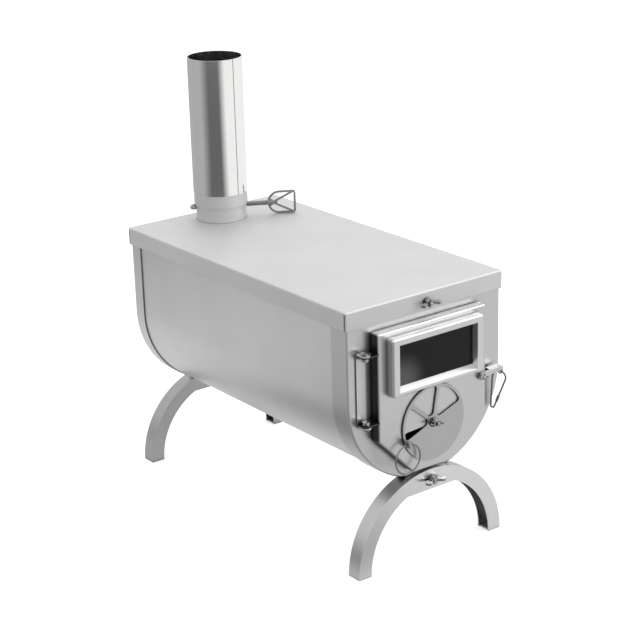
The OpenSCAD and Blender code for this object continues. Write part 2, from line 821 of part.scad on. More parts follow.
module lid_bolts() color("gray") for (rear = [false, true]) at_end(rear)
    front_screw(0, -face_y + sheet_t, lid_screw_z,
        sheet_t + lid_proud + nut_h + washer_t + screw_tip, screw_r);

module lid_nut_front() color("dimgray") translate([0, -lid_half_len - slip_gap, lid_screw_z])
    rotate([90, 0, 0]) wing_nut(screw_r, wing_span, wing_r);

module lid_nut_rear() color("dimgray") at_end(true)
    translate([0, -lid_half_len - slip_gap, lid_screw_z]) rotate([90, 0, 0])
        wing_nut(screw_r, wing_span, wing_r);

module leg_nut_front() color("dimgray") translate([0, leg_front - slip_gap, leg_screw_z])
    rotate([90, 0, 0]) wing_nut(screw_r, wing_span, wing_r);

module leg_nut_rear() color("dimgray") at_end(true)
    translate([0, leg_front - slip_gap, leg_screw_z]) rotate([90, 0, 0])
        wing_nut(screw_r, wing_span, wing_r);

// An ear round the pivot's axis, with its top at z
module hinge_ear(z) {
    translate([0, 0, z - hinge_t]) difference() {
        union() {
            translate([hinge_x, hinge_y, 0]) cylinder(r = ear_round, h = hinge_t);
            translate([hinge_x - ear_w / 2, hinge_y, 0]) cube([ear_w, hinge_fwd, hinge_t]);
        }
        translate([hinge_x, hinge_y, -cut_over])
            cylinder(r = pivot_r + run_gap, h = hinge_t + 2 * cut_over);
    }
}

module hinge_bracket() color("silver") {
    translate([hinge_x - ear_w / 2, -face_y - hinge_t, hinge_low])
        cube([ear_w, hinge_t, hinge_top - hinge_low]);
    hinge_ear(hinge_top);
    hinge_ear(hinge_low + hinge_t);
}

module hinge_pins() color("dimgray") for (top = [0, 1])
    translate([hinge_x, hinge_y, top == 1 ? hinge_top : hinge_low]) mirror([0, 0, top == 1 ? 0 : 1]) {
        cylinder(r = pin_head_r, h = pin_head_h);
        translate([0, 0, -2 * hinge_t - 2 * slip_gap - pin_nut_h])
            cylinder(r = pivot_r, h = 2 * hinge_t + 2 * slip_gap + pin_nut_h);
        translate([0, 0, -2 * hinge_t - 2 * slip_gap - pin_nut_h])
            cylinder(r = pin_head_r, h = pin_nut_h, $fn = 6);
    }

// A shelf on a base plate beside the door, stiffened by a gusset
module latch_catch() color("silver") {
    shelf_z = latch_z + latch_top - latch_t;
    translate([catch_start, -face_y - latch_t, shelf_z - catch_h])
        cube([catch_w, latch_t, catch_h]);
    translate([catch_start, -face_y - door_depth, shelf_z - latch_t])
        cube([catch_w, door_depth, latch_t]);
    translate([catch_start + catch_w - latch_t, 0, 0]) rotate([90, 0, 90])
        linear_extrude(latch_t) polygon([[-face_y - latch_t / 2, shelf_z - latch_t / 2],
            [-face_y - door_depth + latch_t, shelf_z - latch_t / 2],
            [-face_y - latch_t / 2, shelf_z - catch_h + latch_t]]);
}

// A drop lever: a blade in front of the door, folded back to a shelf that lies on the catch
module latch_lever() color("silver") {
    blade_y = door_front - slip_gap;
    top = latch_z + latch_top;
    difference() {
        union() {
            to_front(blade_y, latch_t) {
                translate([latch_x, latch_z]) circle(latch_top);
                polygon([[latch_x, top], [latch_x, latch_z - latch_top],
                    [latch_end, top - latch_blade_h], [latch_end, top]]);
                translate([latch_end - latch_blade_h, top - latch_eye_drop]) circle(latch_blade_h);
            }
            translate([latch_shelf_start, blade_y - latch_t, top - latch_t])
                cube([latch_end - latch_shelf_start, door_depth - latch_t, latch_t]);
        }
        translate([latch_x, blade_y + cut_over, latch_z]) rotate([90, 0, 0])
            cylinder(r = pivot_r + run_gap, h = latch_t + 2 * cut_over);
        translate([latch_end - latch_blade_h, blade_y + cut_over, top - latch_eye_drop])
            rotate([90, 0, 0]) cylinder(r = latch_eye_r, h = latch_t + 2 * cut_over);
    }
}

module latch_pivot() color("dimgray") translate([latch_x, door_front, latch_z]) rotate([90, 0, 0]) {
    translate([0, 0, -door_t - head_h]) cylinder(r = latch_head_share * pivot_r, h = head_h);
    translate([0, 0, -door_t]) cylinder(r = pivot_r, h = door_t + latch_t + 2 * slip_gap + pin_nut_h);
    translate([0, 0, latch_t + 2 * slip_gap]) cylinder(r = pin_head_r, h = pin_nut_h, $fn = 6);
}

// A long wire loop with a crimp sleeve on one side. It hangs leaning, and turned out of square
// to the door
module latch_ring() color("dimgray")
    translate([latch_end - latch_blade_h, door_front - slip_gap - latch_t / 2,
        latch_z + latch_top - latch_eye_drop])
    rotate([0, 0, 90 + loop_turn]) rotate([0, -loop_lean, 0]) {
        straight = loop_len - 2 * loop_half_w;
        for (low = [0, 1]) translate([0, 0, -loop_half_w - low * straight])
            rotate([90, 180 * low, 0]) rotate_extrude(angle = 180)
                translate([loop_half_w, 0]) circle(loop_wire_r, $fn = 24);
        for (side = [-1, 1]) translate([side * loop_half_w, 0, -loop_half_w - straight])
            cylinder(r = loop_wire_r, h = straight, $fn = 24);
        translate([-loop_half_w, 0, -loop_half_w - straight]) cylinder(r = crimp_r, h = crimp_len);
    }

firebox_shell();
front_end_cap();
rear_end_cap();
lid();
fire_grate();
flue_spigot();
flue_sleeve();
front_leg();
rear_leg();
leg_lugs();
leg_bolts();
leg_spacers();
lid_bolts();
hinge_bracket();
hinge_pins();
latch_catch();
door_panel();
window_frame();
window_glass();
window_screws();
air_wheel();
air_wheel_stud();
air_wheel_nut();
air_wheel_ring();
latch_lever();
latch_pivot();
latch_ring();
damper_plate();
damper_shaft();
damper_handle();
damper_spacer();
damper_nut();
chimney_pipe();
lid_nut_front();
lid_nut_rear();
leg_nut_front();
leg_nut_rear();
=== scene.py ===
"""Looks of a tent wood stove in satin stainless sheet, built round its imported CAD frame.

The frame's origin is on the ground under the middle of the stove. The door faces -Y, +Z is up,
and every length is in metres.
"""

import math

import bpy
import numpy as np
from mathutils import Matrix, Vector


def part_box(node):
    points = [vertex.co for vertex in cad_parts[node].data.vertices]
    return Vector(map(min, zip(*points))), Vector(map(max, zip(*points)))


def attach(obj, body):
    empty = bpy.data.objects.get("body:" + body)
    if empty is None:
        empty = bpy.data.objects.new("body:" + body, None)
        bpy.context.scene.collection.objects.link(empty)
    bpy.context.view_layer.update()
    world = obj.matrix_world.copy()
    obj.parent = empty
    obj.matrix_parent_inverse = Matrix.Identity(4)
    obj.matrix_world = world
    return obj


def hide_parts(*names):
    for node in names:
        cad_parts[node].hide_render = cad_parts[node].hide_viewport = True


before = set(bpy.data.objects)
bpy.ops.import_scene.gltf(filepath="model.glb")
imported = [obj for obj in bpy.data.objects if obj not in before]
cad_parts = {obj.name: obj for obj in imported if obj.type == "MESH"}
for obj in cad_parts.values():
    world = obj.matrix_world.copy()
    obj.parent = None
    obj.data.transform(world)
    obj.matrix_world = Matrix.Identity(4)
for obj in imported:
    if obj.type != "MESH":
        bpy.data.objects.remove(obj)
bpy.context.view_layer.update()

MM = 0.001
FRAME_PX = 640
LID_TOP = 280.2 * MM
FLUE_Y = 156.7 * MM
HAZE_AT = (-44 * MM, -206 * MM, 199 * MM)


# ---------------------------------------------------------------- colours, nodes and meshes


def srgb(code):
    """Linear RGBA of an sRGB hex colour: each channel c / 12.92 where c < 0.04045, and
    ((c + 0.055) / 1.055) ^ 2.4 elsewhere."""
    parts = [int(code[i : i + 2], 16) / 255 for i in (0, 2, 4)]
    return (*(c / 12.92 if c <= 0.04045 else ((c + 0.055) / 1.055) ** 2.4 for c in parts), 1)


def add_node(tree, kind, links=None, **settings):
    """Adds a node of a kind to a tree. Settings that name an input set its value, and others set
    the node's own properties. Links give the output that feeds each input."""
    made = tree.nodes.new(kind)
    for name, value in settings.items():
        if name in {p.identifier for p in made.bl_rna.properties}:
            setattr(made, name, value)
        else:
            made.inputs[name.replace("_", " ")].default_value = value
    for name, source in (links or {}).items():
        tree.links.new(source, made.inputs[name])
    return made


def empty_material(name):
    """A material with no nodes yet, and its node tree."""
    made = bpy.data.materials.new(name)
    made.use_nodes = True
    made.node_tree.nodes.clear()
    return made, made.node_tree


def new_material(name):
    """A material with a Principled shader wired to its output, its tree and the shader."""
    made, tree = empty_material(name)
    shader = add_node(tree, "ShaderNodeBsdfPrincipled")
    add_node(tree, "ShaderNodeOutputMaterial", {"Surface": shader.outputs[0]})
    return made, tree, shader


def ramp(tree, source, stops):
    """A colour from (place, hex colour) stops, read at a value between 0 and 1."""
    made = add_node(tree, "ShaderNodeValToRGB", {"Fac": source})
    bar = made.color_ramp.elements
    while len(bar) < len(stops):
        bar.new(0.5)
    for element, (place, code) in zip(bar, stops):
        element.position, element.color = place, srgb(code)
    return made.outputs["Color"]


def grey_range(tree, source, low, high):
    """Carries a 0 to 1 value to low to high."""
    return add_node(
        tree, "ShaderNodeMapRange", {"Value": source}, To_Min=low, To_Max=high
    ).outputs["Result"]


def bump(tree, shader, height, depth_mm):
    """Feeds a height pattern of a depth in millimetres to the shader's normal."""
    made = add_node(tree, "ShaderNodeBump", {"Height": height}, Distance=depth_mm * MM)
    tree.links.new(made.outputs["Normal"], shader.inputs["Normal"])


def grid_mesh(name, points, closed_u=False, closed_v=False):
    """A quad mesh through an (n, m, 3) array of points, wrapped round where a direction closes."""
    n, m = points.shape[:2]
    i = np.arange(n if closed_u else n - 1)
    j = np.arange(m if closed_v else m - 1)
    ii, jj = np.meshgrid(i, j, indexing="ij")
    nexti, nextj = (ii + 1) % n, (jj + 1) % m
    faces = np.stack(
        [ii * m + jj, nexti * m + jj, nexti * m + nextj, ii * m + nextj], axis=-1
    ).reshape(-1, 4)
    mesh = bpy.data.meshes.new(name)
    mesh.from_pydata(points.reshape(-1, 3).tolist(), [], faces.tolist())
    mesh.update()
    obj = bpy.data.objects.new(name, mesh)
    bpy.context.collection.objects.link(obj)
    return obj


def unit(vectors):
    """The vectors at length 1."""
    return vectors / np.linalg.norm(vectors, axis=-1, keepdims=True)


def tube_along(name, path, across, radius, sides=10, closed=False):
    """A round tube along an (n, 3) path, with a radius for the whole or one for each point. Its
    section stands square to the path, turned by a direction that the path never follows. An open
    tube is closed by drawing its first and last rings together."""
    ahead = np.roll(path, -1, 0) - np.roll(path, 1, 0) if closed else np.gradient(path, axis=0)
    along = unit(ahead)
    side = unit(np.cross(across, along))
    up = np.cross(along, side)
    radius = np.broadcast_to(np.asarray(radius, float), len(path)).copy()
    if not closed:
        path, side, up = (np.concatenate([v[:1], v, v[-1:]]) for v in (path, side, up))
        radius = np.concatenate([[1e-6], radius, [1e-6]])
    turn = np.linspace(0, -2 * np.pi, sides + 1)[:-1, None]
    ring = np.cos(turn) * side[:, None] + np.sin(turn) * up[:, None]
    points = path[:, None] + radius[:, None, None] * ring
    obj = grid_mesh(name, points, closed_u=closed, closed_v=True)
    obj.data.shade_smooth()
    return obj


def corner_shade(tree, reach_mm, tight=0.45, free=0.75, darkest=0.08):
    """1 on open metal, falling to a dark share where other metal stands within a reach. It is read
    from the open share of the sky at that reach: 1 above free, and darkest below tight. It is
    painted shade: it darkens corners and draws a dark line round every fitted piece, where shade
    falls."""
    near = add_node(
        tree, "ShaderNodeAmbientOcclusion", samples=6, Distance=reach_mm * MM
    ).outputs["AO"]
    return add_node(
        tree,
        "ShaderNodeMapRange",
        {"Value": near},
        From_Min=tight,
        From_Max=free,
        To_Min=darkest,
        To_Max=1.0,
    ).outputs["Result"]


def shaded(tree, colour, share):
    """A colour darkened to a share."""
    return add_node(
        tree, "ShaderNodeVectorMath", {0: colour, "Scale": share}, operation="SCALE"
    ).outputs[0]


# ---------------------------------------------------------------- materials


def past_planes(tree, place, planes):
    """How far a place is past the outermost of some planes, negative inside them all. A plane is
    its outward direction and its distance along it in millimetres: max(direction . place - d)."""
    furthest = None
    for direction, distance in planes:
        along = add_node(tree, "ShaderNodeVectorMath", {0: place}, operation="DOT_PRODUCT")
        along.inputs[1].default_value = direction
        past = add_node(
            tree, "ShaderNodeMath", {0: along.outputs["Value"]}, operation="SUBTRACT"
        )
        past.inputs[1].default_value = distance * MM
        if furthest is None:
            furthest = past.outputs[0]
        else:
            furthest = add_node(
                tree, "ShaderNodeMath", {0: furthest, 1: past.outputs[0]}, operation="MAXIMUM"
            ).outputs[0]
    return furthest


def satin_stainless(
    name, tone, roughness, grain_axis=1, reach=6, darkest=0.1, flanges=(), painted_flange_tone=1.0
):
    """Stainless sheet with a fine satin finish, as rolled and lightly brushed: an even soft grey
    whose grain, some 0.4 mm wide and 40 mm long, shows only as a faint streak in the gloss. Faint
    clouding some 60 mm across keeps the wide faces from looking flat. Shade is painted into its
    corners and gaps by corner_shade. Flanges can be painted another tone than the face they are
    folded from: a share below 1 is painted shade and one above 1 is painted light. Each gives its
    plane, and painted_flange_tone is their share of the tone."""
    made, tree, shader = new_material(name)
    place = add_node(tree, "ShaderNodeTexCoord").outputs["Object"]
    stretch = [1 / (0.4 * MM)] * 3
    stretch[grain_axis] = 1 / (40 * MM)
    grain_place = add_node(tree, "ShaderNodeMapping", {"Vector": place}, Scale=stretch)
    grain = add_node(
        tree, "ShaderNodeTexNoise", {"Vector": grain_place.outputs[0]}, Scale=1.0, Detail=2.0
    ).outputs["Fac"]
    cloud = add_node(
        tree, "ShaderNodeTexNoise", {"Vector": place}, Scale=1 / (60 * MM), Detail=3.0
    ).outputs["Fac"]
    light = ramp(tree, cloud, [(0.3, tone[0]), (0.7, tone[1])])
    # painted shade in corners and gaps
    painted_corner_shade = corner_shade(tree, reach, darkest=darkest)
    # painted shade or light on the flanges past the given planes
    if flanges:
        past = past_planes(tree, place, flanges)
        share = add_node(
            tree,
            "ShaderNodeMapRange",
            {"Value": past},
            From_Min=-0.7 * MM,
            From_Max=-0.1 * MM,
            To_Min=1.0,
            To_Max=painted_flange_tone,
        ).outputs["Result"]
        light = shaded(tree, light, share)
    tree.links.new(shaded(tree, light, painted_corner_shade), shader.inputs["Base Color"])
    shader.inputs["Metallic"].default_value = 1.0
    rough = grey_range(tree, grain, roughness - 0.05, roughness + 0.05)
    tree.links.new(rough, shader.inputs["Roughness"])
    bump(tree, shader, grain, 0.004)
    return made


def polished_pipe_steel():
    """Stainless foil polished and rolled into a pipe: near mirror, with a faint upright grain."""
    made, tree, shader = new_material("polished_rolled_stainless")
    place = add_node(tree, "ShaderNodeTexCoord").outputs["Object"]
    grain_place = add_node(
        tree,
        "ShaderNodeMapping",
        {"Vector": place},
        Scale=(1 / (0.6 * MM), 1 / (0.6 * MM), 1 / (80 * MM)),
    )
    grain = add_node(
        tree, "ShaderNodeTexNoise", {"Vector": grain_place.outputs[0]}, Scale=1.0, Detail=2.0
    ).outputs["Fac"]
    shader.inputs["Base Color"].default_value = srgb("DEDEDD")
    shader.inputs["Metallic"].default_value = 1.0
    tree.links.new(grey_range(tree, grain, 0.1, 0.17), shader.inputs["Roughness"])
    return made


def plated_fastener_steel():
    """Bright zinc-plated screws and nuts: a sharp gloss, mottled some 2 mm across, with shade
    painted nearly black into their hollows."""
    made, tree, shader = new_material("plated_fastener_steel")
    place = add_node(tree, "ShaderNodeTexCoord").outputs["Object"]
    spots = add_node(
        tree, "ShaderNodeTexNoise", {"Vector": place}, Scale=1 / (2.2 * MM), Detail=3.0
    ).outputs["Fac"]
    plating = ramp(tree, spots, [(0.35, "6A6A6A"), (0.65, "CACACA")])
    # the corner_shade share below paints the hollows nearly black as shade
    tree.links.new(
        shaded(tree, plating, corner_shade(tree, 7, tight=0.35, free=0.85, darkest=0.03)),
        shader.inputs["Base Color"],
    )
    shader.inputs["Metallic"].default_value = 1.0
    tree.links.new(grey_range(tree, spots, 0.14, 0.26), shader.inputs["Roughness"])
    return made


def dark_steel(name, code, roughness):
    """Dark steel with a narrow gloss: thin wire, and painted shade for pieces that stand in a deep
    gap or deep shade.
    """
    made, tree, shader = new_material(name)
    shader.inputs["Base Color"].default_value = srgb(code)
    shader.inputs["Metallic"].default_value = 1.0
    shader.inputs["Roughness"].default_value = roughness
    return made


def stove_glass():
    """Heat-proof ceramic glass: nearly black from outside, with a sharp surface gloss and a grey
    haze of ash in its lower left corner, which fades out over some 30 mm."""
    made, tree, shader = new_material("ceramic_stove_glass")
    place = add_node(tree, "ShaderNodeTexCoord").outputs["Object"]
    haze = add_node(
        tree, "ShaderNodeTexNoise", {"Vector": place}, Scale=1 / (30 * MM), Detail=3.0
    ).outputs["Fac"]
    low_corner = add_node(tree, "ShaderNodeVectorMath", {0: place}, operation="DISTANCE")
    low_corner.inputs[1].default_value = HAZE_AT
    wiped = add_node(
        tree,
        "ShaderNodeMapRange",
        {"Value": low_corner.outputs["Value"]},
        From_Min=6 * MM,
        From_Max=34 * MM,
        To_Min=1.0,
        To_Max=0.0,
        interpolation_type="SMOOTHSTEP",
    ).outputs["Result"]
    tree.links.new(
        ramp(tree, wiped, [(0.0, "0F0F10"), (1.0, "5A5A5A")]), shader.inputs["Base Color"]
    )
    shader.inputs["IOR"].default_value = 1.52
    shader.inputs["Specular IOR Level"].default_value = 0.18
    shader.inputs["Metallic"].default_value = 0.0
    tree.links.new(grey_range(tree, haze, 0.04, 0.1), shader.inputs["Roughness"])
    return made


def dress(nodes, material):
    """Gives CAD nodes a material in every slot."""
    for name in nodes:
        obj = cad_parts[name]
        obj.data.materials.clear()
        obj.data.materials.append(material)
        for face in obj.data.polygons:
            face.material_index = 0


# Each sheet's reach and darkest arguments set how far and how dark shade is painted into its
# corners and gaps.
sheet = satin_stainless("satin_stainless_sheet", ("CFCFCF", "D3D3D2"), 0.42)
# The front cap's band behind y = -188 mm is painted darker (0.88 of its tone) as painted shade.
cap_sheet = satin_stainless(
    "satin_stainless_front_cap", ("C6C6C6", "CACAC9"), 0.36, 0,
    flanges=[((0, 1, 0), -188)], painted_flange_tone=0.88,
)
# The door's left side wall and lower left chamfer are painted nearly black (0.13 of the tone) as
# painted shade.
door_sheet = satin_stainless(
    "satin_stainless_door", ("C6C6C6", "CACAC9"), 0.32, 0,
    flanges=[((-1, 0, 0), 69.3), ((-0.7071, 0, -0.7071), -51.9)], painted_flange_tone=0.13,
)
# The front leg's face at y = -198.4 mm and beyond is painted 1.38 times lighter as painted light,
# and its corners take strong painted shade.
leg_sheet = satin_stainless(
    "satin_stainless_legs", ("BCBCBC", "C0C0BF"), 0.32, 0, 4, 0.35,
    flanges=[((0, -1, 0), 198.4)], painted_flange_tone=1.38,
)
# The rear leg's sheet is painted darker as painted shade, where the body and the front leg shade
# it.
rear_leg_sheet = satin_stainless(
    "shaded_stainless_rear_leg", ("A6A6A6", "AAAAA9"), 0.36, 0, 6, 0.2
)
# The lid's four skirts are painted darker (0.91 of the tone) as painted shade.
lid_sheet = satin_stainless(
    "satin_stainless_lid", ("D4D4D4", "D8D8D7"), 0.62, 1, 3, 0.8,
    flanges=[((-1, 0, 0), 100), ((1, 0, 0), 100), ((0, -1, 0), 193), ((0, 1, 0), 193)],
    painted_flange_tone=0.91,
)
frame_sheet = satin_stainless("satin_stainless_frame", ("D2D2D2", "D6D6D5"), 0.22, 0, 1.5, 0.6)
flue_sheet = satin_stainless("satin_stainless_flue", ("CCCCCC", "D0D0CF"), 0.7, 2, 1.5, 0.6)
wheel_sheet = satin_stainless("satin_stainless_wheel", ("B0B0B0", "B6B6B5"), 0.34, 0, 3, 0.4)
# The latch lever's corners and underside are painted nearly black as painted shade.
latch_sheet = satin_stainless("satin_stainless_latch", ("C6C6C6", "CACAC9"), 0.25, 0, 8, 0.03)
pipe_steel = polished_pipe_steel()
hardware = plated_fastener_steel()
glass = stove_glass()
wire = dark_steel("stainless_wire", "868686", 0.22)
# The catch sits in shade under the lever: its dark colour is painted shade.
catch_steel = dark_steel("latch_steel_painted_shade", "6A6A6A", 0.3)
# painted shadow for the dark rods in the lid's corner slits
shadow_gap = dark_steel("open_fold_shadow", "1C1C1C", 0.6)

dress(
    ["firebox_shell", "rear_end_cap", "hinge_bracket", "leg_lugs", "fire_grate"],
    sheet,
)
dress(["front_end_cap"], cap_sheet)
dress(["door_panel"], door_sheet)
dress(["lid"], lid_sheet)
dress(["window_frame"], frame_sheet)
dress(["front_leg"], leg_sheet)
dress(["rear_leg"], rear_leg_sheet)
dress(["flue_sleeve", "flue_spigot"], flue_sheet)
dress(["air_wheel"], wheel_sheet)
dress(["window_glass"], glass)
dress(
    ["leg_bolts", "leg_spacers", "lid_bolts", "hinge_pins", "window_screws", "air_wheel_stud",
     "latch_pivot", "air_wheel_nut", "lid_nut_front", "lid_nut_rear", "leg_nut_front",
     "leg_nut_rear", "damper_nut"],
    hardware,
)
dress(["latch_lever"], latch_sheet)
dress(["latch_catch"], catch_steel)
dress(
    ["air_wheel_ring", "latch_ring", "damper_plate", "damper_shaft", "damper_handle",
     "damper_spacer"],
    wire,
)


# ---------------------------------------------------------------- pieces drawn finer


def even_steps(corners, count):
    """Points at even steps along the closed line through some corners."""
    ring = np.concatenate([corners, corners[:1]])
    run = np.concatenate([[0], np.cumsum(np.linalg.norm(np.diff(ring, axis=0), axis=1))])
    steps = np.linspace(0, run[-1], count, endpoint=False)
    return np.stack([np.interp(steps, run, ring[:, k]) for k in range(ring.shape[1])], axis=1)


def latch_cable():
    """The latch's pull: a loop of three-strand steel cable through the lever's eye, with a pressed
    sleeve that joins its ends. The loop is a wide arc at the eye and a narrow one at its foot,
    joined by their two tangents: sin(taper) = (wide - narrow) / (distance of the centres)."""
    eye = np.array([88.5 * MM, -203.55 * MM, LID_TOP - 102.4 * MM])
    wide, narrow, length = 7 * MM, 2 * MM, 41.5 * MM
    strand_r, lay_turns, sleeve_drop = 0.55 * MM, 15, 30 * MM
    lean, turned = math.radians(12), math.radians(118)
    gap = length - wide - narrow
    taper = math.asin((wide - narrow) / gap)
    a = np.linspace(-taper, math.pi + taper, 60)
    b = np.linspace(math.pi + taper, 2 * math.pi - taper, 30)
    flat = np.concatenate([
        np.stack([wide * np.cos(a), wide * np.sin(a) - wide], axis=1),
        np.stack([narrow * np.cos(b), narrow * np.sin(b) - length + narrow], axis=1),
    ])
    flat = even_steps(flat, 900)
    sideways = np.array([math.cos(turned), math.sin(turned), 0.0])
    upwards = np.array([0.0, 0.0, 1.0])
    across = np.cross(sideways, upwards)
    flat = flat @ [[math.cos(lean), math.sin(lean)], [-math.sin(lean), math.cos(lean)]]
    core = eye + flat[:, :1] * sideways + flat[:, 1:] * upwards
    along = unit(np.roll(core, -1, 0) - np.roll(core, 1, 0))
    out = unit(np.cross(across, along))
    lay = np.linspace(0, 2 * np.pi * lay_turns, len(core), endpoint=False)[:, None]
    for k in range(3):
        turn = lay + k * 2 * np.pi / 3
        strand = core + strand_r * (np.cos(turn) * out + np.sin(turn) * across)
        obj = tube_along(f"latch_cable_strand_{k + 1}", strand, across, strand_r, 8, closed=True)
        fit_out(obj, "latch_ring", wire)
        if k == 0:
            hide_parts("latch_ring")
    inner_run = flat[:, 0] > flat[:, 0].mean()
    place = np.argmin(np.abs(flat[:, 1] + sleeve_drop) + inner_run)
    step = along[place] * MM
    pressed = np.array([1.1, 1.6, 1.65, 1.4, 1.65, 1.65, 1.4, 1.65, 1.6, 1.1]) * MM
    sleeve = core[place] + np.linspace(-4, 4, len(pressed))[:, None] * step
    fit_out(tube_along("latch_cable_sleeve", sleeve, across, pressed, 20), "latch_ring", wire)


def rolled_pipe():
    """The chimney section: polished foil rolled up, with a lap seam that stands out by its own
    thickness up one side, and a wider socket at its foot. Its section is
    r(turn) = 30 mm, plus 0.5 mm where |turn - seam| < asin(half the lap / r)."""
    foot, socket_top, top = LID_TOP + 31 * MM, LID_TOP + 58 * MM, LID_TOP + 181 * MM
    outer, bore, socket, lap = 30 * MM, 29.05 * MM, 29.4 * MM, 0.5 * MM
    seam = math.radians(-77)
    half_lap = math.asin(3.5 / 30.25)
    edge = half_lap + np.array([-1e-4, 1e-4])
    open_turns = np.linspace(half_lap + 0.02, 2 * np.pi - half_lap - 0.02, 176)
    lap_turns = np.linspace(-half_lap + 0.02, half_lap - 0.02, 7)
    turn = np.sort(np.concatenate([lap_turns, -edge, edge, open_turns]))
    proud = np.where(np.abs(turn) < half_lap, lap, 0.0)
    profile = [
        (outer, foot, 1), (outer, top, 1), (bore, top, 0),
        (bore, socket_top, 0), (socket, socket_top, 0), (socket, foot, 0),
    ]
    rings = [
        np.stack([
            (r + follows * proud) * np.cos(turn + seam),
            FLUE_Y + (r + follows * proud) * np.sin(turn + seam),
            np.full_like(turn, z),
        ], axis=1)
        for r, z, follows in profile
    ]
    obj = grid_mesh("rolled_chimney_pipe", np.stack(rings, axis=1), closed_u=True, closed_v=True)
    obj.data.shade_smooth()
    obj.data.set_sharp_from_angle(angle=math.radians(30))
    fit_out(obj, "chimney", pipe_steel)
    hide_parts("chimney_pipe")


def damper_spring():
    """The spring that holds the damper's handle off the flue and keeps it from turning by itself.
    Its first and last turns are closed up, so that they lie flat."""
    coils, shaft_turn = 12, math.radians(-30)
    turn = np.linspace(0, 2 * np.pi * coils, coils * 28)
    axis = np.array([math.cos(shaft_turn), math.sin(shaft_turn), 0.0])
    upwards = np.array([0.0, 0.0, 1.0])
    side = np.cross(upwards, axis)
    share = np.interp(turn / turn[-1], [0, 1 / coils, 1 - 1 / coils, 1], [0, 0.055, 0.945, 1])
    start, end, coil_r, wire_r = 28.6 * MM, 50.9 * MM, 2.35 * MM, 0.65 * MM
    centre = np.array([0, FLUE_Y, LID_TOP + 13.4 * MM])
    run = start + (end - start) * share
    path = centre + run[:, None] * axis + coil_r * (
        np.cos(turn)[:, None] * upwards + np.sin(turn)[:, None] * side
    )
    obj = tube_along("damper_spring", path, axis, wire_r, 8)
    fit_out(obj, "damper", wire)
    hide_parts("damper_spacer")


def lid_corner_slits():
    """A dark rod of painted shadow along the slit at each corner of the lid, where the front skirt
    meets the side skirt.
    """
    low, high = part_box("lid")
    slit_r, steps = 0.34 * MM, 12
    for k, (x, y) in enumerate([(-1, -1), (1, -1), (-1, 1), (1, 1)]):
        at_x = (high[0] if x > 0 else low[0]) - x * 0.24 * MM
        at_y = (high[1] if y > 0 else low[1]) - y * 1.5 * MM
        z = np.linspace(low[2] + 0.4 * MM, high[2] - 2.4 * MM, steps)
        path = np.stack([np.full(steps, at_x), np.full(steps, at_y), z], axis=1)
        obj = tube_along(f"lid_corner_slit_{k + 1}", path, (0, 1, 0), slit_r, 8)
        fit_out(obj, "stove", shadow_gap)


def fit_out(obj, body, material):
    """Gives a new piece its finish and the body it rides on."""
    obj.data.materials.append(material)
    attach(obj, body)


latch_cable()
rolled_pipe()
damper_spring()
lid_corner_slits()


# ---------------------------------------------------------------- camera


def set_camera(target, azimuth, elevation, roll, distance, focal_px):
    """Camera at a distance from its target, at an azimuth and elevation, rolled about its view."""
    a, e, r = (math.radians(v) for v in (azimuth, elevation, roll))
    back = Vector((math.sin(a) * math.cos(e), -math.cos(a) * math.cos(e), math.sin(e)))
    right = Vector((math.cos(a), math.sin(a), 0))
    up = back.cross(right)
    rows = (
        right * math.cos(r) + up * math.sin(r),
        up * math.cos(r) - right * math.sin(r),
        back,
    )
    data = bpy.data.cameras.new("camera")
    data.sensor_width = 36
    data.lens = 36 * focal_px / FRAME_PX
    data.clip_start, data.clip_end = 0.05, 20
    obj = bpy.data.objects.new("camera", data)
    bpy.context.collection.objects.link(obj)
    obj.matrix_world = Matrix.Translation(Vector(target) + back * distance) @ (
        Matrix(rows).transposed().to_4x4()
    )
    bpy.context.scene.camera = obj


set_camera((0.009729, -0.0073, 0.199016), -36.924, 19.402, -1.599, 1.896078, 1781.016)


# ---------------------------------------------------------------- studio


def ray_is(tree, *kinds):
    """1 for rays of any of these kinds, else 0."""
    path = add_node(tree, "ShaderNodeLightPath")
    total = path.outputs[kinds[0]]
    for kind in kinds[1:]:
        total = add_node(
            tree, "ShaderNodeMath", {0: total, 1: path.outputs[kind]}, operation="MAXIMUM"
        ).outputs[0]
    return total


# The cards' tones by the turn round the flue in degrees, 0 towards the front left corner's side
# and positive to the right of it: turns, then tones
PIPE_TONES = (
    [-180, -162, -140, -64, -30, 13, 40, 120, 180],
    [0.3, 0.42, 0.53, 0.53, 0.155, 0.155, 1.16, 1.16, 1.0],
)
FLOOR_TONES = (
    [-180, -110, -66, -40, 25, 50, 95, 130, 180],
    [0.8, 0.84, 0.76, 0.35, 0.35, 0.86, 0.86, 0.66, 0.8],
)
CARD_TURN = 233.1


def studio_floor():
    """A white floor. It glows a little for the camera and for rays through glass, so it stays
    white.
    """
    x, y = np.meshgrid(np.linspace(-8, 8, 9), np.linspace(-8, 8, 9), indexing="ij")
    obj = grid_mesh("studio_floor", np.stack([x, y, np.full_like(x, -0.0004)], axis=-1))
    made, tree = empty_material("white_studio_floor")
    seen = ray_is(tree, "Is Camera Ray", "Is Transmission Ray")
    matt = add_node(tree, "ShaderNodeBsdfDiffuse", Color=srgb("F2F2F2"))
    strength = add_node(tree, "ShaderNodeMapRange", {"Value": seen}, To_Max=0.6).outputs["Result"]
    glow = add_node(tree, "ShaderNodeEmission", {"Strength": strength})
    both = add_node(tree, "ShaderNodeAddShader", {0: matt.outputs[0], 1: glow.outputs[0]})
    add_node(tree, "ShaderNodeOutputMaterial", {"Surface": both.outputs[0]})
    obj.data.materials.append(made)


